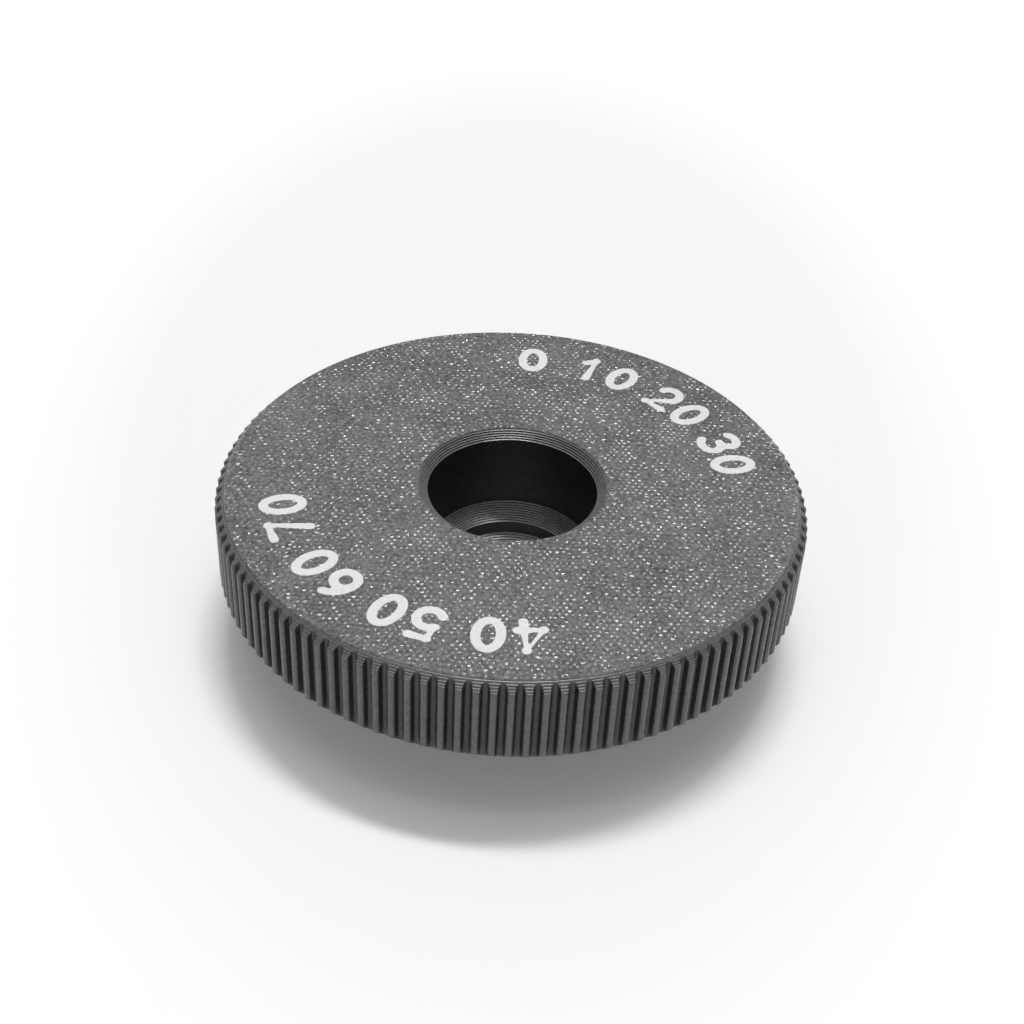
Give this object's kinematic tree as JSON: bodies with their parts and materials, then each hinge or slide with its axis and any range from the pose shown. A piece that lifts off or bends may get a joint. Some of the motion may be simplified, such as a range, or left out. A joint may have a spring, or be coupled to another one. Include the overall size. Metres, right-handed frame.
{
  "type": "lens gear",
  "caption": "Fine-pitch spur gear printed in one piece, with chamfered tooth ends, a textured marked face, a stepped bore and a short boss underneath, for driving a lens ring.",
  "frame": {"origin": "centre of the boss's underside, on the gear's axis", "axes": "+Z along the gear's axis, out of the marked face; +X through a tooth gap"},
  "size_m": [0.0488, 0.0488, 0.014],
  "materials": {
    "grey_plastic": "layered print, satin, with a pitted face from the print bed",
    "white_inlay": "white first-layer inlay, flush with the face"
  },
  "bodies": {
    "root": {"lens_gear": "grey_plastic"}
  },
  "joints": []
}
